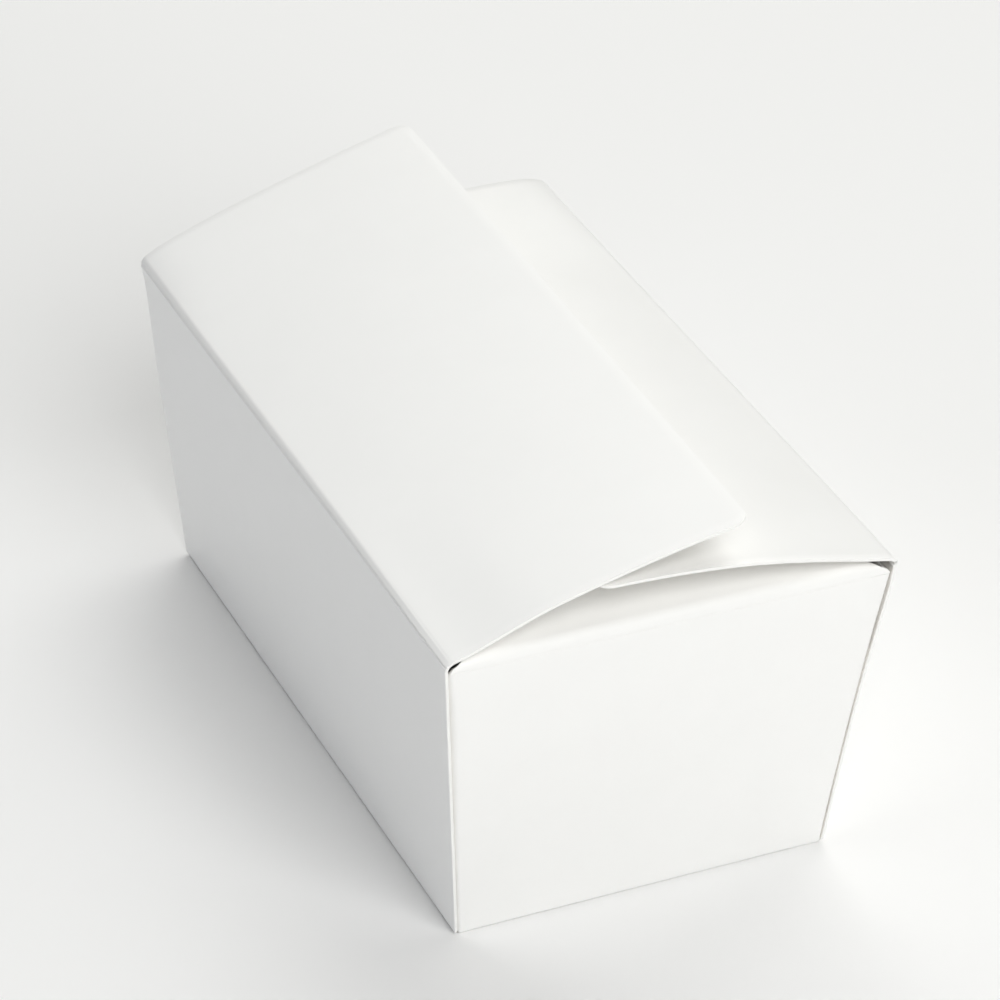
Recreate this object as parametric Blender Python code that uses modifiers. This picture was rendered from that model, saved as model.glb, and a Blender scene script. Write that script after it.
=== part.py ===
# A ballotin: a folding-board chocolate box with leaning walls, two long overlapping lids and two end flaps.
# Metres, +Z up. The origin is the centre of the underside, X runs along the box and Y across it.
# The front (-Y) lid lies over the back (+Y) lid. Each panel between two creases is one object.
import math

import bmesh
import bpy
from mathutils import Vector

# Outside sizes of the folded box, measured where the outer faces of two panels would meet
BASE_LENGTH = 0.1339
BASE_WIDTH = 0.0742
TOP_LENGTH = 0.1476
TOP_WIDTH = 0.0868
HEIGHT = 0.065

# The board and its creases
BOARD = 0.00055
CLEARANCE = 0.0003
BASE_FOLD_RADIUS = 0.0015
CORNER_FOLD_RADIUS = 0.0016
LID_FOLD_RADIUS = 0.0016
FLAP_FOLD_RADIUS = 0.0012
CORNER_RELIEF = 0.0012

# The glue tabs, which lie behind the long walls
TAB_WIDTH = 0.016
TAB_TAPER = math.radians(14)
TAB_CORNER_RADIUS = 0.0015

# The lids. A slope is measured from level, rising inwards, at the crease (start) and at the free edge (end)
LID_DEPTH = 0.0590
LID_CORNER_RADIUS = 0.0032
BACK_LID_START_RIGHT = math.radians(14.3)
BACK_LID_END_RIGHT = math.radians(-0.6)
BACK_LID_START_LEFT = math.radians(6.0)
BACK_LID_END_LEFT = math.radians(0.0)
FRONT_LID_BOW_RIGHT = math.radians(1.6)
FRONT_LID_BOW_LEFT = math.radians(9.0)
FRONT_LID_TWIST = math.radians(3.6)
LID_STRIPS_ACROSS = 12
LID_STRIPS_ALONG = 8

# The end flaps. Their creases lie a little lower than the lids' creases
FLAP_DEPTH = 0.033
FLAP_DROP = 0.00125
FLAP_SLOPE_RIGHT = math.radians(6.0)
FLAP_SLOPE_LEFT = math.radians(4.0)
FLAP_RELIEF_DEPTH = 0.0038
FLAP_RELIEF_ANGLE = math.radians(48)
FLAP_SIDE_ANGLE = math.radians(28)
FLAP_CORNER_RADIUS = 0.005

# How finely curves are drawn and searched for. Points closer than SAME_PLACE are one point
FOLD_STEPS = 5
ROUND_STEPS = 6
SEARCH_STEPS = 50
SHARP_ANGLE = math.radians(30)
SAME_PLACE = 1e-7

BOARD_WHITE = (0.90, 0.90, 0.89, 1.0)
BOARD_INSIDE = (0.84, 0.83, 0.80, 1.0)

# The lean of the walls from upright, and the directions of the folds that follow from it
LONG_LEAN = math.atan((TOP_WIDTH - BASE_WIDTH) / 2 / HEIGHT)
END_LEAN = math.atan((TOP_LENGTH - BASE_LENGTH) / 2 / HEIGHT)
TAB_SETBACK = (BOARD + CLEARANCE) / math.cos(LONG_LEAN)
CORNER_TURN = math.acos(math.sin(END_LEAN) * math.sin(LONG_LEAN))


def tangent_length(radius, turn):
    """How far before the meeting of two planes a rounded fold between them begins."""
    return radius * math.tan(turn / 2)


def clear_scene():
    for old in list(bpy.data.objects):
        bpy.data.objects.remove(old, do_unlink=True)


def make_collection(name):
    collection = bpy.data.collections.new(name)
    bpy.context.scene.collection.children.link(collection)
    return collection


def board_material(name, colour):
    material = bpy.data.materials.new(name)
    material.use_nodes = True
    shader = material.node_tree.nodes["Principled BSDF"]
    shader.inputs["Base Color"].default_value = colour
    shader.inputs["Roughness"].default_value = 0.45
    shader.inputs["Metallic"].default_value = 0.0
    return material


def flat_panel(outline, rounded, cuts):
    """A flat sheet in the XY plane, cut into strips where it will bend.

    outline: the corners in order, anticlockwise. rounded: {corner index: radius}.
    cuts: (point, direction across the cut) of each straight cut.
    """
    sheet = bmesh.new()
    corners = [sheet.verts.new((x, y, 0)) for x, y in outline]
    sheet.faces.new(corners)
    for index, radius in rounded.items():
        bmesh.ops.bevel(
            sheet,
            geom=[corners[index]],
            offset=radius,
            segments=ROUND_STEPS,
            profile=0.5,
            affect="VERTICES",
        )
    for point, across in cuts:
        parts = sheet.verts[:] + sheet.edges[:] + sheet.faces[:]
        bmesh.ops.bisect_plane(sheet, geom=parts, dist=SAME_PLACE, plane_co=point, plane_no=across)
    sheet.normal_update()
    return sheet


def fold_cuts(start, out, radius, turn):
    """The cuts that a rounded fold needs, from its start to its end."""
    reach = radius * turn
    return [(start + out * (reach * step / FOLD_STEPS), out) for step in range(FOLD_STEPS + 1)]


def fold(place, flat, start, out, normal, radius, turn):
    """The folded place of a sheet point: what lies beyond start bends round, away from normal, by turn."""
    past = (flat - start).dot(out)
    if past < SAME_PLACE:
        return place
    swept = min(past / radius, turn)
    rest = max(0.0, past - radius * turn)
    along = out * math.cos(swept) - normal * math.sin(swept)
    bend = out * (radius * math.sin(swept)) - normal * (radius * (1 - math.cos(swept)))
    return flat - out * past + bend + along * rest


def board_object(name, sheet, material, collection, parent):
    """The sheet as an object, with the board's thickness on its inner side."""
    mesh = bpy.data.meshes.new(name)
    sheet.to_mesh(mesh)
    sheet.free()
    mesh.shade_smooth()
    mesh.set_sharp_from_angle(angle=SHARP_ANGLE)
    mesh.materials.append(material)
    made = bpy.data.objects.new(name, mesh)
    collection.objects.link(made)
    made.parent = parent
    thickness = made.modifiers.new("board", "SOLIDIFY")
    thickness.thickness = BOARD
    thickness.offset = -1
    thickness.use_even_offset = True
    return made


def copy_turned(source, name, turn, collection, parent):
    """The same panel on the opposite side of the box."""
    twin = source.copy()
    twin.name = name
    twin.rotation_euler.z = turn
    collection.objects.link(twin)
    twin.parent = parent
    return twin


def facing_out(sheet, outward):
    """Turns the sheet's faces so that the board's thickness goes inwards."""
    sheet.normal_update()
    wrong = [face for face in sheet.faces if face.normal.dot(outward) < 0]
    if len(wrong) > len(sheet.faces) / 2:
        bmesh.ops.reverse_faces(sheet, faces=sheet.faces[:])


def wall_plane(distance, lean):
    """Origin, upward direction and outward normal of a wall that faces -Y, at half the box's size away."""
    foot = Vector((0, -distance / 2, 0))
    up = Vector((0, -math.sin(lean), math.cos(lean)))
    normal = Vector((0, -math.cos(lean), -math.sin(lean)))
    return foot, up, normal


def lid_half_turn():
    """Half of the smallest turn between a long wall and its lid."""
    front_right, _, front_left, _ = front_lid_slopes()
    steepest = max(front_right, front_left, BACK_LID_START_RIGHT, BACK_LID_START_LEFT)
    return (math.pi / 2 + LONG_LEAN - steepest) / 2


def flap_half_turn():
    steepest = max(FLAP_SLOPE_RIGHT, FLAP_SLOPE_LEFT)
    return (math.pi / 2 + END_LEAN - steepest) / 2


def fold_tip(radius, half_turn):
    """The length of one half of a rounded fold, whose two halves stay apart at the middle of the board."""
    return radius * half_turn - CLEARANCE / 2 * radius / (radius - BOARD / 2)


def wall_sheet(distance, lean, outline, corner_fold, top):
    """A wall that faces -Y, folded from its flat outline.

    distance: from this wall's foot to the opposite one. corner_fold: (start, direction across it), or None.
    top: (radius, half turn, distance up the face of the crease) of the fold that the lid or flap hangs on.
    """
    foot, up, normal = wall_plane(distance, lean)
    base_turn = math.pi / 2 - lean
    base_start = Vector((0, tangent_length(BASE_FOLD_RADIUS, base_turn), 0))
    down = Vector((0, -1, 0))
    top_radius, top_half_turn, top_crease = top
    # Half of the fold is on this side of the crease, so its start depends on the whole turn
    top_start = Vector((0, top_crease - tangent_length(top_radius, 2 * top_half_turn), 0))
    upward = Vector((0, 1, 0))
    folds = [
        (base_start, down, BASE_FOLD_RADIUS, base_turn),
        (top_start, upward, top_radius, top_half_turn),
    ]
    if corner_fold:
        for side in (1, -1):
            start, out = (Vector((side * way.x, way.y, 0)) for way in corner_fold)
            folds.append((start, out, CORNER_FOLD_RADIUS, CORNER_TURN))
    cuts = []
    for start, out, radius, turn in folds:
        cuts.extend(fold_cuts(start, out, radius, turn))
    sheet = flat_panel(outline, {}, cuts)
    flat_normal = Vector((0, 0, 1))
    for vert in sheet.verts:
        flat = vert.co.copy()
        place = flat
        for start, out, radius, turn in folds:
            place = fold(place, flat, start, out, flat_normal, radius, turn)
        vert.co = foot + Vector((place.x, 0, 0)) + up * place.y + normal * place.z
    facing_out(sheet, normal)
    return sheet


def mirrored_outline(right_half):
    """A closed outline from its right half, given from bottom to top."""
    return right_half + [(-x, y) for x, y in reversed(right_half)]


def along_face(height, lean):
    """How far up a leaning wall's outer face a height above the floor lies."""
    return height / math.cos(lean)


def long_wall_sheet():
    """A long wall: cut square along the end walls' outer faces."""
    base_turn = math.pi / 2 - LONG_LEAN
    base_start = tangent_length(BASE_FOLD_RADIUS, base_turn)
    foot_half = BASE_LENGTH / 2 - base_fold_setback(END_LEAN)
    slant = math.tan(END_LEAN) * math.cos(LONG_LEAN)
    crease = along_face(HEIGHT, LONG_LEAN)
    half_turn = lid_half_turn()
    top = crease - tangent_length(LID_FOLD_RADIUS, 2 * half_turn) + fold_tip(LID_FOLD_RADIUS, half_turn)
    bottom = base_start - BASE_FOLD_RADIUS * base_turn

    def edge(up):
        return BASE_LENGTH / 2 + slant * up

    shoulder = base_start + CORNER_RELIEF
    right_half = [
        (foot_half, bottom),
        (foot_half, base_start),
        (edge(shoulder), shoulder),
        (edge(top), top),
    ]
    top_fold = (LID_FOLD_RADIUS, half_turn, crease)
    return wall_sheet(BASE_WIDTH, LONG_LEAN, mirrored_outline(right_half), None, top_fold)


def corner_crease():
    """On an end wall's outer face: where its corner fold starts, and the direction across that fold."""
    slant = math.tan(LONG_LEAN) * math.cos(END_LEAN)
    meeting = Vector((BASE_WIDTH / 2 - TAB_SETBACK, 0, 0))
    out = Vector((1, -slant, 0)).normalized()
    return meeting - out * tangent_length(CORNER_FOLD_RADIUS, CORNER_TURN), out


def corner_edge(up, past):
    """Half an end wall's flat width this far up its face, taken this far past its corner fold's start."""
    start, out = corner_crease()
    return start.x + (past - (up - start.y) * out.y) / out.x


def end_wall_top():
    """How far up the end wall's face its flap's crease lies."""
    return along_face(HEIGHT - FLAP_DROP, END_LEAN)


def flap_crease_half():
    """Half the length of an end flap's crease: the flat part of the end wall between its corner folds."""
    return corner_edge(end_wall_top(), 0)


def corner_fold_top():
    half_turn = flap_half_turn()
    return end_wall_top() - tangent_length(FLAP_FOLD_RADIUS, 2 * half_turn)


def end_wall_sheet():
    """An end wall, facing -Y here: its corner folds turn inwards to the glue tabs."""
    base_turn = math.pi / 2 - END_LEAN
    base_start = tangent_length(BASE_FOLD_RADIUS, base_turn)
    bottom = base_start - BASE_FOLD_RADIUS * base_turn
    half_turn = flap_half_turn()
    fold_top = corner_fold_top()
    top = fold_top + fold_tip(FLAP_FOLD_RADIUS, half_turn)
    reach = CORNER_FOLD_RADIUS * CORNER_TURN
    shoulder = base_start + CORNER_RELIEF
    right_half = [
        (corner_edge(bottom, 0), bottom),
        (corner_edge(base_start, 0), base_start),
        (corner_edge(shoulder, reach), shoulder + CORNER_RELIEF),
        (corner_edge(fold_top - CORNER_RELIEF, reach), fold_top - CORNER_RELIEF),
        (flap_crease_half(), fold_top),
        (flap_crease_half(), top),
    ]
    top_fold = (FLAP_FOLD_RADIUS, half_turn, end_wall_top())
    return wall_sheet(BASE_LENGTH, END_LEAN, mirrored_outline(right_half), corner_crease(), top_fold)


def tab_sheet(side):
    """A glue tab of the end wall that faces -Y here, on its +X (side 1) or -X (side -1) edge."""
    foot, up, normal = wall_plane(BASE_LENGTH, END_LEAN)
    start, out = corner_crease()
    reach = CORNER_FOLD_RADIUS * CORNER_TURN
    near = reach + CLEARANCE
    far = reach + TAB_WIDTH
    base_start = tangent_length(BASE_FOLD_RADIUS, math.pi / 2 - END_LEAN)
    low = base_start + 2 * CORNER_RELIEF
    high = corner_fold_top() - CORNER_RELIEF
    taper = (TAB_WIDTH - CLEARANCE) * math.tan(TAB_TAPER)
    outline = [
        (corner_edge(low, near), low),
        (corner_edge(low + taper, far), low + taper),
        (corner_edge(high - taper, far), high - taper),
        (corner_edge(high, near), high),
    ]
    sheet = flat_panel(outline, {1: TAB_CORNER_RADIUS, 2: TAB_CORNER_RADIUS}, [])
    flat_normal = Vector((0, 0, 1))
    for vert in sheet.verts:
        place = fold(vert.co, vert.co, start, out, flat_normal, CORNER_FOLD_RADIUS, CORNER_TURN)
        vert.co = foot + Vector((side * place.x, 0, 0)) + up * place.y + normal * place.z
    facing_out(sheet, Vector((side, 0, 0)))
    return sheet


def hinged_sheet(half_width, outline, rounded, fold_radius, half_turn, whole_turns, slopes, strips, depth):
    """A lid or flap in its hinge's frame: X along the crease, Y inwards, Z up, the crease at the origin.

    slopes: (start, end) of the slope at the +X end, then at the -X end. Between them both change evenly.
    """
    tangent = max(tangent_length(fold_radius, turn) for turn in whole_turns)
    tip = fold_tip(fold_radius, half_turn)
    across, along = strips
    inward_cuts = [tangent - tip * step / FOLD_STEPS for step in range(1, FOLD_STEPS)]
    inward_cuts += [tangent + (depth - tangent) * step / across for step in range(across)]
    length_cuts = [half_width * (2 * step / along - 1) for step in range(1, along)]
    cuts = [(Vector((0, cut, 0)), Vector((0, 1, 0))) for cut in inward_cuts]
    cuts += [(Vector((cut, 0, 0)), Vector((1, 0, 0))) for cut in length_cuts]
    sheet = flat_panel(outline(tangent - tip, tangent), rounded, cuts)
    for vert in sheet.verts:
        share = 0.5 - vert.co.x / (2 * half_width)
        start_slope = slopes[0] + (slopes[2] - slopes[0]) * share
        end_slope = slopes[1] + (slopes[3] - slopes[1]) * share
        inwards, up = bowed(vert.co.y, start_slope, end_slope, tangent, depth, fold_radius)
        vert.co = Vector((vert.co.x, inwards, up))
    facing_out(sheet, Vector((0, 0, 1)))
    return sheet


def bowed(along, start_slope, end_slope, tangent, depth, fold_radius):
    """(inwards, up) of a point this far along a bowed panel, whose start rounds down into its crease."""
    if along < tangent:
        swept = (tangent - along) / fold_radius
        back = fold_radius * math.sin(swept)
        down = fold_radius * (1 - math.cos(swept))
        inwards = (tangent - back) * math.cos(start_slope) + down * math.sin(start_slope)
        up = (tangent - back) * math.sin(start_slope) - down * math.cos(start_slope)
        return inwards, up
    inwards = tangent * math.cos(start_slope)
    up = tangent * math.sin(start_slope)
    length = along - tangent
    if start_slope == end_slope:
        return inwards + length * math.cos(start_slope), up + length * math.sin(start_slope)
    bend = (end_slope - start_slope) / (depth - tangent)
    now = start_slope + bend * length
    inwards += (math.sin(now) - math.sin(start_slope)) / bend
    up += (math.cos(start_slope) - math.cos(now)) / bend
    return inwards, up


def lid_face(along, start_slope, end_slope):
    """(inwards, up) of a point on a lid's outer face, measured from the crease."""
    return bowed(along, start_slope, end_slope, 0.0, LID_DEPTH, LID_FOLD_RADIUS)


def lid_height_at(across, start_slope, end_slope):
    """The height of a lid's outer face above its crease this far across from it, and its slope there."""
    low, high = 0.0, LID_DEPTH
    for _ in range(SEARCH_STEPS):
        middle = (low + high) / 2
        if lid_face(middle, start_slope, end_slope)[0] < across:
            low = middle
        else:
            high = middle
    slope = start_slope + (end_slope - start_slope) * middle / LID_DEPTH
    return lid_face(middle, start_slope, end_slope)[1], slope


def front_lid_slopes():
    """The front lid's slopes. Its right end rests on the back lid's free edge, which sets its rise."""
    tip_across, tip_up = lid_face(LID_DEPTH, BACK_LID_START_RIGHT, BACK_LID_END_RIGHT)
    across = TOP_WIDTH - tip_across
    low, high = 0.0, math.pi / 2
    for _ in range(SEARCH_STEPS):
        start = (low + high) / 2
        height, slope = lid_height_at(across, start, start - FRONT_LID_BOW_RIGHT)
        if height - (BOARD + CLEARANCE) / math.cos(slope) < tip_up:
            low = start
        else:
            high = start
    chord = start - FRONT_LID_BOW_RIGHT / 2 + FRONT_LID_TWIST
    left_start = chord + FRONT_LID_BOW_LEFT / 2
    return start, start - FRONT_LID_BOW_RIGHT, left_start, left_start - FRONT_LID_BOW_LEFT


def lid_outline(hinge_edge, _flat_start):
    half = TOP_LENGTH / 2
    return [(-half, hinge_edge), (half, hinge_edge), (half, LID_DEPTH), (-half, LID_DEPTH)]


def lid_sheet(slopes):
    """A long lid: square at its crease, round at its free corners, bowed across its depth."""
    turns = [math.pi / 2 + LONG_LEAN - slope for slope in (slopes[0], slopes[2])]
    return hinged_sheet(
        TOP_LENGTH / 2,
        lid_outline,
        {2: LID_CORNER_RADIUS, 3: LID_CORNER_RADIUS},
        LID_FOLD_RADIUS,
        lid_half_turn(),
        turns,
        slopes,
        (LID_STRIPS_ACROSS, LID_STRIPS_ALONG),
        LID_DEPTH,
    )


def flap_outline(hinge_edge, flat_start):
    """An end flap: relieved at both ends of its crease, then tapered."""
    crease = flap_crease_half()
    relief_end = flat_start + FLAP_RELIEF_DEPTH
    relieved = crease - FLAP_RELIEF_DEPTH * math.tan(FLAP_RELIEF_ANGLE)
    free = relieved - (FLAP_DEPTH - relief_end) * math.tan(FLAP_SIDE_ANGLE)
    right_half = [(crease, hinge_edge), (crease, flat_start), (relieved, relief_end), (free, FLAP_DEPTH)]
    return mirrored_outline(right_half)


def flap_sheet(slope):
    turn = math.pi / 2 + END_LEAN - slope
    return hinged_sheet(
        flap_crease_half(),
        flap_outline,
        {3: FLAP_CORNER_RADIUS, 4: FLAP_CORNER_RADIUS},
        FLAP_FOLD_RADIUS,
        flap_half_turn(),
        [turn],
        (slope, slope, slope, slope),
        (2, 1),
        FLAP_DEPTH,
    )


def base_fold_setback(lean):
    """How far in from a wall's foot the base panel ends, just short of the wall's base fold."""
    return tangent_length(BASE_FOLD_RADIUS, math.pi / 2 - lean) + CLEARANCE


def base_sheet():
    """The base panel: flat, with its corners cut off where four folds meet two by two."""
    half_length = BASE_LENGTH / 2 - base_fold_setback(END_LEAN)
    half_width = BASE_WIDTH / 2 - base_fold_setback(LONG_LEAN)
    right_half = [(half_length, -half_width), (half_length, half_width)]
    corners = {index: CORNER_RELIEF for index in range(4)}
    sheet = flat_panel(mirrored_outline(right_half), corners, [])
    facing_out(sheet, Vector((0, 0, -1)))
    return sheet


def place_hinged(made, pos, turn):
    made.location = pos
    made.rotation_euler.z = turn


def build():
    clear_scene()
    box = make_collection("ballotin")
    outside = board_material("white coated board", BOARD_WHITE)
    inside = board_material("white board, hidden tab", BOARD_INSIDE)
    centre = bpy.data.objects.new("ballotin_base_centre", None)
    box.objects.link(centre)

    board_object("base_panel", base_sheet(), outside, box, centre)

    front_wall = board_object("front_wall", long_wall_sheet(), outside, box, centre)
    copy_turned(front_wall, "back_wall", math.pi, box, centre)

    right_end_wall = board_object("right_end_wall", end_wall_sheet(), outside, box, centre)
    right_end_wall.rotation_euler.z = math.pi / 2
    copy_turned(right_end_wall, "left_end_wall", -math.pi / 2, box, centre)

    tab_pairs = ((1, "back_right_tab", "front_left_tab"), (-1, "front_right_tab", "back_left_tab"))
    for side, right_name, left_name in tab_pairs:
        tab = board_object(right_name, tab_sheet(side), inside, box, centre)
        tab.rotation_euler.z = math.pi / 2
        copy_turned(tab, left_name, -math.pi / 2, box, centre)

    front_slopes = front_lid_slopes()
    front_lid = board_object("front_lid", lid_sheet(front_slopes), outside, box, centre)
    place_hinged(front_lid, (0, -TOP_WIDTH / 2, HEIGHT), 0)
    # Turned half round, so its own +X end is the box's left end
    back_slopes = (BACK_LID_START_LEFT, BACK_LID_END_LEFT, BACK_LID_START_RIGHT, BACK_LID_END_RIGHT)
    back_lid = board_object("back_lid", lid_sheet(back_slopes), outside, box, centre)
    place_hinged(back_lid, (0, TOP_WIDTH / 2, HEIGHT), math.pi)

    crease_x = TOP_LENGTH / 2 - FLAP_DROP * math.tan(END_LEAN)
    crease_z = HEIGHT - FLAP_DROP
    right_flap = board_object("right_end_flap", flap_sheet(FLAP_SLOPE_RIGHT), outside, box, centre)
    place_hinged(right_flap, (crease_x, 0, crease_z), math.pi / 2)
    left_flap = board_object("left_end_flap", flap_sheet(FLAP_SLOPE_LEFT), outside, box, centre)
    place_hinged(left_flap, (-crease_x, 0, crease_z), -math.pi / 2)


build()
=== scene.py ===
import math

import bpy
from mathutils import Euler, Matrix, Vector


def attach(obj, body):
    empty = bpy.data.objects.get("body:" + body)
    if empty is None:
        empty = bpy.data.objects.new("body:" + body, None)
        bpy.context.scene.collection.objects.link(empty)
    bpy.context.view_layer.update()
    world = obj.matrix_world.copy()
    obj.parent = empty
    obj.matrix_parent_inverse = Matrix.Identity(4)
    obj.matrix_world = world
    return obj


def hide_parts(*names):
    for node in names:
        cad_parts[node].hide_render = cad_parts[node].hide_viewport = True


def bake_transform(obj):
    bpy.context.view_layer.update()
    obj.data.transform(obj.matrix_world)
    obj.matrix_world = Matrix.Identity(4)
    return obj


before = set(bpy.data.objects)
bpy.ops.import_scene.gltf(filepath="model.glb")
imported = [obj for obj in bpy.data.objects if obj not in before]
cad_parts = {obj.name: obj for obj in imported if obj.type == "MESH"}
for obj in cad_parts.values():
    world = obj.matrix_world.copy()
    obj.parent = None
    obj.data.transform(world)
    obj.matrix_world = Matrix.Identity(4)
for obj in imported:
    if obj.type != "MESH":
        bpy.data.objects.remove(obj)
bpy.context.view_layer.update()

# A ballotin of white coated folding board. Each panel between two creases is one piece.
# The front (-Y) lid lies over the back (+Y) lid, X runs along the box, Z is up, all in metres.
mm = 0.001

box = {  # outside sizes, where the outer faces of two panels would meet
    "baseLength": 133.9 * mm,
    "baseWidth": 74.2 * mm,
    "topLength": 147.6 * mm,
    "topWidth": 86.8 * mm,
    "height": 65.0 * mm,
    "board": 0.55 * mm,
    "glueFilm": 0.08 * mm,
    "seam": 0.02 * mm,  # between two panels that meet at a crease
    "scoreDepth": 0.22 * mm,  # the creasing rule's fine groove, where a fold begins
    "scoreWidth": 0.35 * mm,
    "cutEdgeRound": 0.05 * mm,
}
mesh = {
    "sliceEvery": 2.0 * mm,  # how finely a panel is cut before it is bent
    "foldSteps": 8,
    "grooveSteps": 3,
    "creaseSteps": 20,
    "cornerSegments": 10,
    "edgeSegments": 2,
    "edgeOver": math.radians(50),  # edges sharper than this are cut edges
    "smoothUnder": math.radians(28),
    "touching": 0.001 * mm,
    "onLine": 0.0001 * mm,  # no farther past a fold's start than this is not past it
    "halvings": 50,  # when a slope is searched for
}
backCorner = {  # this box is glued a little out of true: its back right corner is drawn in
    "pull": 0.85 * mm,
    "length": 40 * mm,
    "overHeight": (0.75, 1.624, -2.374),  # share of the pull: at the foot, and by height and its square
}
frontCorner = {  # and its front left corner, just below the lid
    "pull": 0.35 * mm,
    "length": 22 * mm,
    "heights": (37 * mm, 60 * mm, 66 * mm),
}

longLean = math.atan((box["topWidth"] - box["baseWidth"]) / 2 / box["height"])
endLean = math.atan((box["topLength"] - box["baseLength"]) / 2 / box["height"])
cornerTurn = math.acos(math.sin(endLean) * math.sin(longLean))
tabSetback = (box["board"] + box["glueFilm"]) / math.cos(longLean)


def tangentLength(radius, turn):
    return radius * math.tan(turn / 2)


def smooth(value):
    value = min(1.0, max(0.0, value))
    return value * value * (3 - 2 * value)


def arch(share):  # 0 at both ends, 1 in the middle
    return 4 * share * (1 - share)


def hill(value, start, top, end):  # rises from start to top, falls to end
    if value < top:
        return smooth((value - start) / (top - start))
    return 1 - smooth((value - top) / (end - top))


def scored(distance):  # the groove's depth at this distance from its middle
    return box["scoreDepth"] * (1 - smooth(abs(distance) / box["scoreWidth"]))


def startEdit(piece, test):  # edit mode with the points that pass the test selected
    bpy.ops.object.mode_set(mode="OBJECT")
    bpy.ops.object.select_all(action="DESELECT")
    piece.select_set(True)
    bpy.context.view_layer.objects.active = piece
    bpy.ops.object.mode_set(mode="EDIT")
    bpy.ops.mesh.select_mode(type="VERT")
    bpy.ops.mesh.select_all(action="DESELECT")
    bpy.ops.object.mode_set(mode="OBJECT")
    for vert in piece.data.vertices:
        vert.select = test(vert.co)
    bpy.ops.object.mode_set(mode="EDIT")


def flatBlank(name, rows, cornerRadius=0.0):  # rows: (distance up the sheet, half width)
    if bpy.context.object and bpy.context.object.mode != "OBJECT":
        bpy.ops.object.mode_set(mode="OBJECT")
    bpy.ops.object.select_all(action="DESELECT")
    low, halfWidth = rows[0]
    high = rows[1][0]
    bpy.ops.mesh.primitive_plane_add(size=1, location=(0, (low + high) / 2, 0))
    piece = bpy.context.object
    piece.name = name
    piece.data.name = name
    piece.scale = (2 * halfWidth, high - low, 1)
    bpy.ops.object.transform_apply(location=True, rotation=False, scale=True)
    edge = high
    for index, (reach, half) in enumerate(rows[1:]):
        startEdit(piece, lambda co: abs(co.y - edge) < mesh["touching"])
        if index:
            bpy.ops.mesh.extrude_region_move(TRANSFORM_OT_translate={"value": (0, reach - edge, 0)})
        bpy.ops.transform.resize(value=(half / halfWidth, 1, 1), center_override=(0, reach, 0))
        bpy.ops.object.mode_set(mode="OBJECT")
        edge, halfWidth = reach, half
    if cornerRadius:
        startEdit(piece, lambda co: abs(co.y - edge) < mesh["touching"])
        bpy.ops.mesh.bevel(offset=cornerRadius, segments=mesh["cornerSegments"], profile=0.5,
                           affect="VERTICES")
        bpy.ops.object.mode_set(mode="OBJECT")
    return piece


def sliceBlank(piece, cuts):  # cuts: (point, direction across the cut)
    startEdit(piece, lambda co: True)
    for point, across in cuts:
        bpy.ops.mesh.select_all(action="SELECT")
        bpy.ops.mesh.bisect(plane_co=point, plane_no=across, threshold=mesh["touching"])
    bpy.ops.object.mode_set(mode="OBJECT")


def evenCuts(low, high, across, step=mesh["sliceEvery"]):
    count = max(1, round((high - low) / step))
    places = [low + (high - low) * index / count for index in range(1, count)]
    return [(Vector(across) * place, Vector(across)) for place in places]


def foldCuts(start, out, reach, steps=mesh["foldSteps"]):
    return [(start + out * (reach * step / steps), out) for step in range(steps + 1)]


def foldPoint(flat, start, out, radius, turn):  # beyond start the sheet bends away from +Z
    past = (flat - start).dot(out)
    if past < mesh["onLine"]:
        return flat
    swept = min(past / radius, turn)
    rest = max(0.0, past - radius * turn)
    along = out * math.cos(swept) - Vector((0, 0, 1)) * math.sin(swept)
    bend = out * (radius * math.sin(swept)) - Vector((0, 0, 1)) * (radius * (1 - math.cos(swept)))
    return flat - out * past + bend + along * rest


def stoodUp(place, distance, lean):  # from a flat sheet to a wall that faces -Y
    foot = Vector((0, -distance / 2, 0))
    up = Vector((0, -math.sin(lean), math.cos(lean)))
    outward = Vector((0, -math.cos(lean), -math.sin(lean)))
    return foot + Vector((place.x, 0, 0)) + up * place.y + outward * place.z


def drawnIn(place):
    nearEnd = smooth(1 - (box["topLength"] / 2 - place.x) / backCorner["length"])
    up = min(1.0, max(0.0, place.z / box["height"]))
    foot, rise, curve = backCorner["overHeight"]
    share = nearEnd * smooth(2 * place.y / box["topWidth"]) * (foot + rise * up + curve * up * up)
    farEnd = smooth(1 - (box["topLength"] / 2 + place.x) / frontCorner["length"])
    farShare = farEnd * smooth(-2 * place.y / box["topWidth"]) * hill(place.z, *frontCorner["heights"])
    drawn = place + Vector((0, frontCorner["pull"] * farShare - backCorner["pull"] * share, 0))
    drawn.z = max(0.0, drawn.z)  # the box stands flat
    return drawn


def boardName(node):  # front_wall -> frontWallBoard
    first, *others = node.split("_")
    return first + "".join(word.capitalize() for word in others) + "Board"


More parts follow.
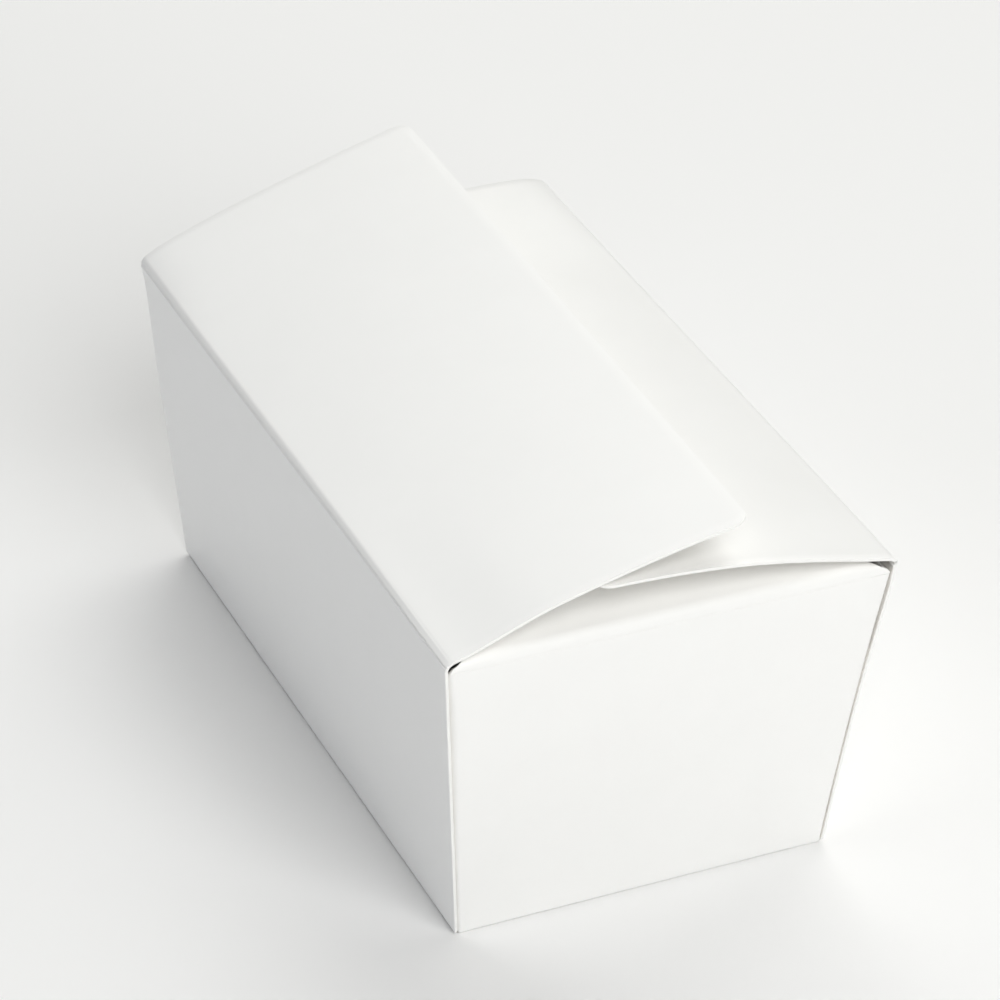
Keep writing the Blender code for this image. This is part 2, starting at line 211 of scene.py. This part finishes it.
def finishBoard(piece, node, location=(0, 0, 0), turn=0.0):
    # Thickness goes inwards, then every cut edge is softened a little, and the piece is put in its place
    piece.name = piece.data.name = boardName(node)
    for skin in skins:
        piece.data.materials.append(skin)
    bpy.ops.object.select_all(action="DESELECT")
    piece.select_set(True)
    bpy.context.view_layer.objects.active = piece
    thickness = piece.modifiers.new("board", "SOLIDIFY")
    thickness.thickness = box["board"]
    thickness.offset = -1
    thickness.use_even_offset = True
    thickness.material_offset = 1
    thickness.material_offset_rim = 2
    bpy.ops.object.modifier_apply(modifier="board")
    soften = piece.modifiers.new("soften", "BEVEL")
    soften.width = box["cutEdgeRound"]
    soften.segments = mesh["edgeSegments"]
    soften.limit_method = "ANGLE"
    soften.angle_limit = mesh["edgeOver"]
    bpy.ops.object.modifier_apply(modifier="soften")
    piece.location = location
    piece.rotation_euler.z = turn
    bpy.ops.object.transform_apply(location=True, rotation=True, scale=True)
    for vert in piece.data.vertices:
        vert.co = drawnIn(vert.co)
    bpy.ops.object.shade_smooth_by_angle(angle=mesh["smoothUnder"])
    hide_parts(node)


def linear(hexColour):
    channels = [int(hexColour[index:index + 2], 16) / 255 for index in (1, 3, 5)]
    return tuple(c / 12.92 if c <= 0.04045 else ((c + 0.055) / 1.055) ** 2.4 for c in channels) + (1.0,)


def addNode(material, kind, settings, links=None):
    node = material.node_tree.nodes.new(kind)
    for key, value in settings.items():
        if isinstance(key, int) or key in node.inputs:
            node.inputs[key].default_value = value
        else:
            setattr(node, key, value)
    for key, source in (links or {}).items():
        material.node_tree.links.new(source, node.inputs[key])
    return node


def boardFinish(name, finish):
    material = bpy.data.materials.new(name)
    material.use_nodes = True
    shader = material.node_tree.nodes["Principled BSDF"]
    shader.inputs["IOR"].default_value = finish["ior"]
    place = addNode(material, "ShaderNodeTexCoord", {}).outputs["Object"]
    grain = addNode(material, "ShaderNodeMapping", {"Scale": finish["grainStretch"]}, {"Vector": place})
    cloud = addNode(material, "ShaderNodeTexNoise",
                    {"Scale": 1 / finish["cloudSize"], "Detail": 3.0, "Roughness": 0.6}, {"Vector": place})
    fibre = addNode(material, "ShaderNodeTexNoise",
                    {"Scale": 1 / finish["fibreSize"], "Detail": 4.0, "Roughness": 0.65},
                    {"Vector": grain.outputs["Vector"]})
    both = addNode(material, "ShaderNodeMath", {"operation": "MULTIPLY_ADD", 1: finish["fibreShare"]},
                   {0: fibre.outputs["Fac"], 2: cloud.outputs["Fac"]})
    tint = addNode(material, "ShaderNodeMapRange",
                   {"From Min": 0.35, "From Max": 0.65 + finish["fibreShare"]},
                   {"Value": both.outputs["Value"]})
    colour = addNode(material, "ShaderNodeMix",
                     {"data_type": "RGBA", 6: linear(finish["dark"]), 7: linear(finish["light"])},
                     {0: tint.outputs["Result"]})
    material.node_tree.links.new(colour.outputs[2], shader.inputs["Base Color"])
    gloss = addNode(material, "ShaderNodeMapRange",
                    {"From Min": 0.3, "From Max": 0.7, "To Min": finish["roughness"][0],
                     "To Max": finish["roughness"][1]}, {"Value": fibre.outputs["Fac"]})
    material.node_tree.links.new(gloss.outputs["Result"], shader.inputs["Roughness"])
    waves = addNode(material, "ShaderNodeBump",
                    {"Strength": 1.0, "Distance": finish["waveDepth"]}, {"Height": cloud.outputs["Fac"]})
    bump = addNode(material, "ShaderNodeBump", {"Strength": 1.0, "Distance": finish["fibreDepth"]},
                   {"Height": fibre.outputs["Fac"], "Normal": waves.outputs["Normal"]})
    material.node_tree.links.new(bump.outputs["Normal"], shader.inputs["Normal"])
    return material


# Clay-coated and calendered: a smooth satin white, with the board's faint cloudy formation under it
coatedFinish = {
    "light": "#F8F8F7", "dark": "#F6F6F5", "ior": 1.5,
    "roughness": (0.42, 0.5),
    "cloudSize": 14 * mm, "waveDepth": 0.02 * mm,
    "fibreSize": 0.7 * mm, "fibreDepth": 0.002 * mm, "fibreShare": 0.3,
    "grainStretch": (1, 1, 1),
}
# Uncoated back of the board: matt, warmer, with fibres that lie along the box. Real ones are 0.03 mm wide,
# and are drawn coarser so that they show
innerFinish = {
    "light": "#F5F3EF", "dark": "#EFECE6", "ior": 1.45,
    "roughness": (0.75, 0.9),
    "cloudSize": 5 * mm, "waveDepth": 0.02 * mm,
    "fibreSize": 0.35 * mm, "fibreDepth": 0.012 * mm, "fibreShare": 0.8,
    "grainStretch": (0.2, 1, 1),
}
# Die-cut edge: the torn fibres of the plies, matt and a little darker than the faces, and drawn coarser too
edgeFinish = {
    "light": "#F8F8F7", "dark": "#F4F4F2", "ior": 1.45,
    "roughness": (0.8, 0.9),
    "cloudSize": 3 * mm, "waveDepth": 0.01 * mm,
    "fibreSize": 0.2 * mm, "fibreDepth": 0.008 * mm, "fibreShare": 0.9,
    "grainStretch": (1, 1, 1),
}
coated = boardFinish("folding board, clay-coated face", coatedFinish)
inner = boardFinish("folding board, uncoated back", innerFinish)
cutEdge = boardFinish("folding board, die-cut edge", edgeFinish)
skins = (coated, inner, cutEdge)
print("materials made")


longWall = {
    "baseFoldRadius": 1.2 * mm,
    "lidFoldRadius": 1.6 * mm,
    "frontCrease": 2.0 * mm,  # from the corner to where the wall's piece ends and the lid's piece begins
    "frontStrip": (0.75 * mm, 0.84 * mm),  # how far down the wall and up the lid the creased strip goes
    "frontStripGrowth": (0.65 * mm, 0.46 * mm),  # and it is this much wider both ways at its right end
    "stripRounds": (0.25 * mm, 0.45 * mm),
    "flare": 0.3 * mm,  # the back wall's right end stands out below its crease
    "flareLength": 22 * mm,
    "flareTop": 5 * mm,  # it grows over this distance below the crease, and fades over the rest
    "flareHeight": 28 * mm,
    "bow": 0.25 * mm,  # how far the middle of the wall stands out
}


def makeLongWall(name, turn):
    size = longWall
    baseTurn = math.pi / 2 - longLean
    baseStart = tangentLength(size["baseFoldRadius"], baseTurn)
    bottom = baseStart - size["baseFoldRadius"] * baseTurn + box["seam"]
    footHalf = box["baseLength"] / 2 - tangentLength(size["baseFoldRadius"], math.pi / 2 - endLean)
    slant = math.tan(endLean) * math.cos(longLean)
    crease = box["height"] / math.cos(longLean)
    isBack = name == "back_wall"
    top = crease - (backTangent if isBack else size["frontCrease"]) - box["seam"]
    rows = [(bottom, footHalf)] + [(up, box["baseLength"] / 2 + slant * up) for up in (baseStart, top)]
    piece = flatBlank(name, rows)
    half = rows[-1][1]
    down = Vector((0, -1, 0))
    cuts = foldCuts(Vector((0, baseStart, 0)), down, size["baseFoldRadius"] * baseTurn)
    cuts += [(point + Vector((0, baseStart, 0)), across)
             for point, across in evenCuts(0, top - baseStart, (0, 1, 0))]
    cuts += foldCuts(Vector((0, top, 0)), down, box["scoreWidth"], mesh["grooveSteps"])[1:]
    cuts += evenCuts(-half, half, (1, 0, 0))
    sliceBlank(piece, cuts)
    for vert in piece.data.vertices:
        flat = vert.co.copy()
        place = foldPoint(flat, Vector((0, baseStart, 0)), down, size["baseFoldRadius"], baseTurn)
        edge = box["baseLength"] / 2 + slant * max(0.0, flat.y)
        nearEnd = smooth(1 - (edge + flat.x) / size["flareLength"])
        nearTop = hill(top - flat.y, 0, size["flareTop"], size["flareHeight"])
        up = max(0.0, flat.y) / top
        place.z += size["bow"] * arch(up) * (1 - (flat.x / edge) ** 2)
        if isBack:
            place.z += size["flare"] * nearEnd * nearTop - scored(top - flat.y)
        vert.co = stoodUp(place, box["baseWidth"], longLean)
    finishBoard(piece, name, turn=turn)
    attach(piece, "carton")


# The end walls, whose corner folds turn in behind the long walls, and the glue tabs
endWall = {
    "baseFoldRadius": 1.2 * mm,
    "flapFoldRadius": 2.2 * mm,
    "flapDrop": 1.25 * mm,  # how far the flap's crease lies below the lid's crease
    "cornerRelief": 0.3 * mm,
    "topReach": 0.6,  # share of the corner fold that is left at the very top
    "footReach": 0.4,  # and at the very bottom
    "foldShift": 4 * mm,  # the face takes up the fold's changing radius over this width
    "foldAtFoot": 0.7 * mm,  # radius of the corner fold at the foot, at the waist and at the top
    "waist": 0.8,  # share of the height
    "foldAtWaist": 1.6 * mm,
    "foldAtTop": 0.9 * mm,
    "tightShare": 0.5,  # of those radii, at the two corners that are drawn in
    "bow": 0.2 * mm,
}
glueTab = {
    "width": 16 * mm,
    "taper": math.radians(14),
    "cornerRadius": 1.5 * mm,
}


def cornerFoldRadius(up, side):
    share = up * math.cos(endLean) / box["height"]
    foot, waist, top = endWall["foldAtFoot"], endWall["foldAtWaist"], endWall["foldAtTop"]
    if share < endWall["waist"]:
        radius = foot + (waist - foot) * smooth(share / endWall["waist"])
    else:
        radius = top + (waist - top) * smooth((1 - share) / (1 - endWall["waist"]))
    return radius if side < 0 else max(foot, endWall["tightShare"] * radius)


def cornerLine(side):
    # Where the corner fold of radius foldAtWaist starts on an end wall's face, and the way across it
    slant = math.tan(longLean) * math.cos(endLean)
    out = Vector((1, -slant, 0)).normalized()
    meeting = Vector((box["baseWidth"] / 2 - tabSetback, 0, 0))  # with the plane of the glue tab
    start = meeting - out * tangentLength(endWall["foldAtWaist"], cornerTurn)
    return Vector((side * start.x, start.y, 0)), Vector((side * out.x, out.y, 0))


def cornerEdge(up, past):  # half the width at this height, where the edge is this far past the fold's start
    start, out = cornerLine(1)
    return start.x + (past - (up - start.y) * out.y) / out.x


def foldCorner(place, flat, side, baseStart):
    # The sheet's own distance past the fold's start is shared out over a fold whose radius changes with
    # height. In the base fold, the corner goes on turning under as a small rounded point
    start, out = cornerLine(side)
    nominal = endWall["foldAtWaist"]
    past = (flat - start).dot(out)
    radius = cornerFoldRadius(max(flat.y, baseStart), side)
    shift = tangentLength(nominal, cornerTurn) - tangentLength(radius, cornerTurn)
    if past < mesh["onLine"]:
        return place + out * (shift * smooth(1 + past / endWall["foldShift"]))
    z = Vector((0, 0, 1))
    share = min(1.0, past / (nominal * cornerTurn))
    rest = max(0.0, past - nominal * cornerTurn)
    swept = share * cornerTurn
    along = out * math.cos(swept) - z * math.sin(swept)
    bend = out * (radius * math.sin(swept)) - z * (radius * (1 - math.cos(swept)))
    under = max(0.0, baseStart - flat.y)
    foot = flat - out * past + Vector((0, under, 0))
    baseRadius = endWall["baseFoldRadius"]
    turned = under / baseRadius
    reach = min(baseRadius, radius)
    inwards = (baseRadius + (reach - baseRadius) * smooth(share * 3)) * (1 - math.cos(turned))
    facing = z * math.cos(swept) + out * math.sin(swept)
    lowered = Vector((0, -1, 0)) * (baseRadius * math.sin(turned))
    return foot + out * shift + bend + along * rest - facing * inwards + lowered


def flapCreaseTop():
    return (box["height"] - endWall["flapDrop"]) / math.cos(endLean)


def makeEndWall(name, turn):
    size = endWall
    baseTurn = math.pi / 2 - endLean
    baseStart = tangentLength(size["baseFoldRadius"], baseTurn)
    bottom = baseStart - size["baseFoldRadius"] * baseTurn + box["seam"]
    foldTop = flapCreaseTop() - flapTangent
    reach = size["foldAtWaist"] * cornerTurn
    relief = size["cornerRelief"]
    rows = [
        (bottom, cornerEdge(bottom, size["footReach"] * reach)),
        (baseStart, cornerEdge(baseStart, reach)),
        (foldTop - relief, cornerEdge(foldTop - relief, reach)),
        (foldTop - box["seam"], cornerEdge(foldTop, size["topReach"] * reach)),
    ]
    piece = flatBlank(name, rows)
    half = cornerEdge(foldTop, reach)
    down = Vector((0, -1, 0))
    cuts = foldCuts(Vector((0, baseStart, 0)), down, size["baseFoldRadius"] * baseTurn)
    cuts += [(point + Vector((0, baseStart, 0)), across)
             for point, across in evenCuts(0, foldTop - baseStart, (0, 1, 0))]
    cuts += evenCuts(-half, half, (1, 0, 0))
    for side in (1, -1):
        cuts += foldCuts(*cornerLine(side), reach)
    sliceBlank(piece, cuts)
    for vert in piece.data.vertices:
        flat = vert.co.copy()
        place = foldPoint(flat, Vector((0, baseStart, 0)), down, size["baseFoldRadius"], baseTurn)
        for side in (1, -1):
            place = foldCorner(place, flat, side, baseStart)
        up = max(0.0, flat.y) / foldTop
        across = flat.x / cornerEdge(flat.y, 0)
        if abs(across) < 1:
            place.z += size["bow"] * arch(up) * (1 - across * across)
        vert.co = stoodUp(place, box["baseLength"], endLean)
    finishBoard(piece, name, turn=turn)
    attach(piece, "carton")


def makeGlueTab(name, side, turn):
    size = endWall
    reach = size["foldAtWaist"] * cornerTurn
    near = reach + box["seam"]
    far = reach + glueTab["width"]
    low = tangentLength(size["baseFoldRadius"], math.pi / 2 - endLean)
    high = flapCreaseTop() - flapTangent - size["cornerRelief"]
    taper = (far - near) * math.tan(glueTab["taper"])
    # Drawn lying on its side: the rows run from the fold to the free edge, and the half widths up and down
    middle = (low + high) / 2
    rows = [(near, (high - low) / 2), (far, (high - low) / 2 - taper)]
    piece = flatBlank(name, rows, glueTab["cornerRadius"])
    sliceBlank(piece, evenCuts(near, far, (0, 1, 0)) + evenCuts(low - middle, high - middle, (1, 0, 0)))
    for vert in piece.data.vertices:
        up = middle - vert.co.x
        flat = Vector((side * cornerEdge(up, vert.co.y), up, 0))
        vert.co = stoodUp(foldCorner(flat, flat, side, low), box["baseLength"], endLean)
    if side < 0:
        startEdit(piece, lambda co: True)
        bpy.ops.mesh.flip_normals()
        bpy.ops.object.mode_set(mode="OBJECT")
    finishBoard(piece, name, turn=turn)
    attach(piece, "carton")


# The lids and flaps, each with its whole crease
frontLid = {
    "depth": 59.0 * mm,
    "cornerRadius": 3.2 * mm,
    "bowRight": math.radians(8.8),
    "bowLeft": math.radians(9.0),
    "twist": math.radians(4.6),
    "clearance": 0.5 * mm,  # above the back lid's free edge, where it rests
    "dip": 1.1 * mm,  # near the right end the lid sags just behind its crease
    "dipBegins": (-1.5 * mm, 1.2 * mm),
    "dipStart": 0.9,
    "dipTop": 4 * mm,
    "dipEnd": 22 * mm,
    "dipLength": 50 * mm,
    "swell": 0.7 * mm,  # and at the left end it stands up behind its crease
    "swellTop": 5 * mm,
    "swellEnd": 40 * mm,
    "swellLength": 40 * mm,
}
backLid = {
    "depth": 59.0 * mm,
    "cornerRadius": 3.2 * mm,
    "startRight": math.radians(14.8),
    "endRight": math.radians(-0.1),
    "startLeft": math.radians(6.0),
    "endLeft": math.radians(0.0),
    "dip": 0.5 * mm,
    "dipBegins": (-0.9 * mm, 0.9 * mm),
    "dipStart": 0.7,
    "dipTop": 6 * mm,
    "dipEnd": 34 * mm,
    "dipLength": 16 * mm,
    "swell": 1.3 * mm,
    "swellTop": 5 * mm,
    "swellEnd": 28 * mm,
    "swellLength": 40 * mm,
}
endFlap = {
    "depth": 33.0 * mm,
    "startRight": math.radians(14.0),  # it springs up from its crease and curves over
    "endRight": math.radians(-2.0),
    "startLeft": math.radians(11.5),
    "endLeft": math.radians(-4.0),
    # Along its crease, from the wall's end (-1) to its own (1), and how far past the corner fold's start
    "creaseSides": ((-1, 1.2 * mm), (-0.4, 0.6 * mm), (0, -0.5 * mm), (1, -2.6 * mm)),
    "pressed": 0.4 * mm,  # its sides are held down by the lids
    "pressedWidth": 10 * mm,
    "pressedEnd": 8,  # times the crease's own half width
    "reliefDepth": 3.8 * mm,
    "reliefAngle": math.radians(48),
    "sideAngle": math.radians(28),
    "cornerRadius": 5.0 * mm,
}


def bowed(along, startSlope, endSlope, tangent, depth):
    # (inwards, up) of a point this far along a bowed panel, whose bow starts where its crease ends
    inwards = tangent * math.cos(startSlope)
    up = tangent * math.sin(startSlope)
    bend = (endSlope - startSlope) / (depth - tangent)
    now = startSlope + bend * (along - tangent)
    inwards += (math.sin(now) - math.sin(startSlope)) / bend
    return inwards, up + (math.cos(startSlope) - math.cos(now)) / bend


def heightAcross(across, startSlope, endSlope, depth):  # a bowed panel's height this far in, and its slope
    low, high = 0.0, depth
    for _ in range(mesh["halvings"]):
        middle = (low + high) / 2
        inwards, up = bowed(middle, startSlope, endSlope, 0.0, depth)
        if inwards < across:
            low = middle
        else:
            high = middle
    return up, startSlope + (endSlope - startSlope) * middle / depth


def frontLidSlopes():  # its right end rests on the back lid's free edge, which sets its rise
    depth = backLid["depth"]
    tipAcross, tipUp = bowed(depth, backLid["startRight"], backLid["endRight"], 0.0, depth)
    low, high = 0.0, math.pi / 2
    for _ in range(mesh["halvings"]):
        start = (low + high) / 2
        height, slope = heightAcross(box["topWidth"] - tipAcross, start, start - frontLid["bowRight"],
                                     frontLid["depth"])
        if height - (box["board"] + frontLid["clearance"]) / math.cos(slope) < tipUp:
            low = start
        else:
            high = start
    left = start - frontLid["bowRight"] / 2 + frontLid["twist"] + frontLid["bowLeft"] / 2
    return start, start - frontLid["bowRight"], left, left - frontLid["bowLeft"]


frontSlopes = frontLidSlopes()
backSlopes = (backLid["startLeft"], backLid["endLeft"], backLid["startRight"], backLid["endRight"])
lidTurn = math.pi / 2 + longLean - min(frontSlopes[0], frontSlopes[2], backSlopes[0], backSlopes[2])
flapTurn = math.pi / 2 + endLean - min(endFlap["startRight"], endFlap["startLeft"])
backTangent = tangentLength(longWall["lidFoldRadius"], lidTurn)
flapTangent = tangentLength(endWall["flapFoldRadius"], flapTurn)


def roundCrease(along, startSlope, lean, tangent, x):
    # (inwards, up) on the crease, from the wall (-tangent) to the panel (+tangent), as one even round
    turn = math.pi / 2 + lean - startSlope
    downWall = Vector((math.sin(lean), -math.cos(lean)))
    outward = Vector((-math.cos(lean), -math.sin(lean)))
    share = (along + tangent) / (2 * tangent)
    facing = outward * math.cos(turn * share) - downWall * math.sin(turn * share)
    centre = downWall * tangent - outward * (tangent / math.tan(turn / 2))
    return centre + facing * (tangent / math.tan(turn / 2))


def stripCrease(along, startSlope, lean, tangent, x):
    # The same for a crease that shows its strip: two rounded corners with a flat strip between them,
    # and the creasing rule's groove along the lower one
    downWall = Vector((math.sin(lean), -math.cos(lean)))
    upLid = Vector((math.cos(startSlope), math.sin(startSlope)))
    low, high = longWall["frontStrip"]
    nearEnd = smooth(1 - (box["topLength"] / 2 - x) / frontLid["dipLength"])
    low += longWall["frontStripGrowth"][0] * nearEnd
    high += longWall["frontStripGrowth"][1] * nearEnd
    corners = [downWall * tangent, downWall * low, upLid * high, upLid * tangent]
    lengths = [(b - a).length for a, b in zip(corners, corners[1:])]
    gone = (along + tangent) / (2 * tangent) * sum(lengths)
    groove = Vector((scored(gone - lengths[0]), 0))
    for index, reach in enumerate(longWall["stripRounds"]):
        corner = sum(lengths[:index + 1])
        if abs(gone - corner) < reach:
            share = (gone - corner + reach) / (2 * reach)
            here = corners[index + 1]
            before = here.lerp(corners[index], reach / lengths[index])
            after = here.lerp(corners[index + 2], reach / lengths[index + 1])
            return before.lerp(here, share).lerp(here.lerp(after, share), share) + groove
    for index, length in enumerate(lengths):
        if gone <= length or index == len(lengths) - 1:
            return corners[index].lerp(corners[index + 1], gone / length) + groove
        gone -= length


def makeHinged(name, rows, size, slopes, lean, tangent, crease, shape, grooved=False):
    # In its hinge's frame: X along the crease, Y inwards, Z up. The flat sheet's crease runs from
    # -tangent to tangent
    piece = flatBlank(name, rows, size["cornerRadius"])
    half = rows[0][1]
    cuts = foldCuts(Vector((0, rows[0][0], 0)), Vector((0, 1, 0)), 2 * tangent, mesh["creaseSteps"])[1:]
    cuts += evenCuts(tangent, size["depth"], (0, 1, 0))
    cuts += evenCuts(-half, half, (1, 0, 0))
    sliceBlank(piece, cuts)
    for vert in piece.data.vertices:
        x, along = vert.co.x, vert.co.y
        share = 0.5 - x / (2 * half)
        startSlope = slopes[0] + (slopes[2] - slopes[0]) * share
        endSlope = slopes[1] + (slopes[3] - slopes[1]) * share
        if along < tangent:
            inwards, up = crease(along, startSlope, lean, tangent, x)
        else:
            inwards, up = bowed(along, startSlope, endSlope, tangent, size["depth"])
        if grooved:
            inwards += scored(along + tangent)
        vert.co = shape(Vector((x, inwards, up)), along, half)
    return piece


def lidRows(size, tangent):
    half = box["topLength"] / 2
    return [(-tangent, half), (tangent, half), (size["depth"], half)]


def sagged(place, along, size, tangent, nearEnd):
    # Near one end the crease has folded lower: the lid drops within its crease, and sags behind it
    start = size["dipStart"]
    grown = start + (1 - start) * smooth((along - tangent) / (size["dipTop"] - tangent))
    faded = 1 - smooth((along - size["dipTop"]) / (size["dipEnd"] - size["dipTop"]))
    first, last = size["dipBegins"]
    begun = min(1.0, max(0.0, (along - first) / (last - first)))
    return place - Vector((0, 0, size["dip"] * nearEnd * grown * faded * begun))


def frontLidShape(place, along, half):
    tangent = longWall["frontCrease"]
    nearEnd = smooth(1 - (half - place.x) / frontLid["dipLength"])
    farEnd = smooth(1 - (half + place.x) / frontLid["swellLength"])
    place = sagged(place, along, frontLid, tangent, nearEnd)
    place.z += frontLid["swell"] * farEnd * hill(along, -tangent, frontLid["swellTop"], frontLid["swellEnd"])
    return place


def backLidShape(place, along, half):  # turned half round, so its own -X end is the box's right end
    nearEnd = smooth(1 - (half + place.x) / backLid["dipLength"])
    farEnd = smooth(1 - (half - place.x) / backLid["swellLength"])
    place = sagged(place, along, backLid, backTangent, nearEnd)
    place.z += backLid["swell"] * farEnd * hill(along, -backTangent, backLid["swellTop"], backLid["swellEnd"])
    return place


def flapShape(place, along, half):
    side = smooth(1 - (half - abs(place.x)) / endFlap["pressedWidth"])
    faded = endFlap["pressedEnd"] * flapTangent
    place.z -= endFlap["pressed"] * side * hill(along, -flapTangent, flapTangent, faded)
    return place


def makeLids():
    edge = box["topWidth"] / 2
    frontTangent = longWall["frontCrease"]
    front = makeHinged("frontLidBoard", lidRows(frontLid, frontTangent), frontLid, frontSlopes,
                       longLean, frontTangent, stripCrease, frontLidShape)
    back = makeHinged("backLidBoard", lidRows(backLid, backTangent), backLid, backSlopes,
                      longLean, backTangent, roundCrease, backLidShape, grooved=True)
    finishBoard(front, "front_lid", location=(0, -edge, box["height"]))
    finishBoard(back, "back_lid", location=(0, edge, box["height"]), turn=math.pi)
    for piece, body, side, tangent in ((front, "front_lid", -1, frontTangent),
                                       (back, "back_lid", 1, backTangent)):
        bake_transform(piece)


def makeFlaps():
    crease = cornerEdge(flapCreaseTop(), 0)
    reliefEnd = flapTangent + endFlap["reliefDepth"]
    relieved = crease - endFlap["reliefDepth"] * math.tan(endFlap["reliefAngle"])
    free = relieved - (endFlap["depth"] - reliefEnd) * math.tan(endFlap["sideAngle"])
    rows = [(share * flapTangent, crease + past) for share, past in endFlap["creaseSides"]]
    rows += [(reliefEnd, relieved), (endFlap["depth"], free)]
    x = box["topLength"] / 2 - endWall["flapDrop"] * math.tan(endLean)
    z = box["height"] - endWall["flapDrop"]
    for side, name, end in ((1, "right_end_flap", "Right"), (-1, "left_end_flap", "Left")):
        slopes = (endFlap["start" + end], endFlap["end" + end]) * 2
        piece = makeHinged(name, rows, endFlap, slopes, endLean, flapTangent, roundCrease, flapShape)
        finishBoard(piece, name, location=(side * x, 0, z), turn=side * math.pi / 2)
        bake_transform(piece)


def makeBase():
    halfLength = box["baseLength"] / 2 - tangentLength(endWall["baseFoldRadius"], math.pi / 2 - endLean)
    halfWidth = box["baseWidth"] / 2 - tangentLength(longWall["baseFoldRadius"], math.pi / 2 - longLean)
    piece = flatBlank("basePanelBoard", [(-halfWidth, halfLength), (halfWidth, halfLength)])
    cuts = evenCuts(-halfWidth, halfWidth, (0, 1, 0), 2 * mesh["sliceEvery"])
    cuts += evenCuts(-halfLength, halfLength, (1, 0, 0), 2 * mesh["sliceEvery"])
    sliceBlank(piece, cuts)
    startEdit(piece, lambda co: True)
    bpy.ops.mesh.flip_normals()
    bpy.ops.object.mode_set(mode="OBJECT")
    finishBoard(piece, "base_panel")
    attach(piece, "carton")


makeBase()
makeLongWall("front_wall", 0)
makeLongWall("back_wall", math.pi)
print("base and long walls folded")
makeEndWall("right_end_wall", math.pi / 2)
makeEndWall("left_end_wall", -math.pi / 2)
makeGlueTab("back_right_tab", 1, math.pi / 2)
makeGlueTab("front_left_tab", 1, -math.pi / 2)
makeGlueTab("front_right_tab", -1, math.pi / 2)
makeGlueTab("back_left_tab", -1, -math.pi / 2)
print("end walls and glue tabs folded")
makeLids()
makeFlaps()
print("lids and flaps folded")


studio = {
    "floorSize": 6.0,
    "floorColour": "#F7F7F7",
    "floorRoughness": 0.9,
    "worldStrength": 0.0,  # all the light comes from the walls of a light tent
    "lamps": {  # place, diameter in metres, watts, colour
        "tentRight": ((0.881, 0.0, 0.739), 0.9, 9.8, "#FFFFFD"),
        "tentFrontLow": ((-0.099, -1.134, 0.160), 0.9, 3.35, "#F6F9FF"),
        "tentLeft": ((-0.813, 0.0, 0.813), 0.9, 3.0, "#FFFFFC"),
        "tentLeftBack": ((-0.466, 0.466, 0.942), 0.9, 5.5, "#FFFFFC"),
        "tentBack": ((0.0, 1.126, 0.650), 2.2, 1.9, "#FFFFFC"),
    },
}
photoCamera = {
    "azimuth": 64.9816,
    "elevation": 32.4160,
    "roll": 1.6936,
    "distance": 0.85218,
    "aim": (-0.004358, 0.002470, 0.040364),
    "lens": 163.187,
    "sensorWidth": 36,
    "clipStart": 0.01,
}


def makeStudio():
    bpy.ops.object.select_all(action="DESELECT")
    bpy.ops.mesh.primitive_plane_add(size=studio["floorSize"], location=(0, 0, 0))
    floor = bpy.context.object
    floor.name = "studioFloor"
    paint = bpy.data.materials.new("studio floor, matt pale paint")
    paint.use_nodes = True
    shader = paint.node_tree.nodes["Principled BSDF"]
    shader.inputs["Base Color"].default_value = linear(studio["floorColour"])
    shader.inputs["Roughness"].default_value = studio["floorRoughness"]
    floor.data.materials.append(paint)
    world = bpy.data.worlds.new("studioWorld")
    bpy.context.scene.world = world
    world.use_nodes = True
    world.node_tree.nodes["Background"].inputs["Strength"].default_value = studio["worldStrength"]
    for name, (place, size, watts, colour) in studio["lamps"].items():
        light = bpy.data.lights.new(name, "AREA")
        light.shape = "DISK"
        light.size = size
        light.energy = watts
        light.color = linear(colour)[:3]
        lamp = bpy.data.objects.new(name, light)
        bpy.context.scene.collection.objects.link(lamp)
        lamp.location = place
        lamp.rotation_euler = Vector(place).to_track_quat("Z", "Y").to_euler()
        lamp.visible_camera = False


def makeCamera():
    view = photoCamera
    turned = Euler((math.radians(90 - view["elevation"]), 0, math.radians(view["azimuth"]))).to_matrix()
    turned = turned @ Matrix.Rotation(math.radians(view["roll"]), 3, "Z")
    data = bpy.data.cameras.new("photoCamera")
    data.lens = view["lens"]
    data.sensor_width = view["sensorWidth"]
    data.clip_start = view["clipStart"]
    camera = bpy.data.objects.new("photoCamera", data)
    bpy.context.scene.collection.objects.link(camera)
    camera.rotation_euler = turned.to_euler()
    camera.location = Vector(view["aim"]) + turned @ Vector((0, 0, view["distance"]))
    bpy.context.scene.camera = camera
    bpy.context.scene.view_settings.view_transform = "Standard"


makeStudio()
makeCamera()
print("studio and camera set")
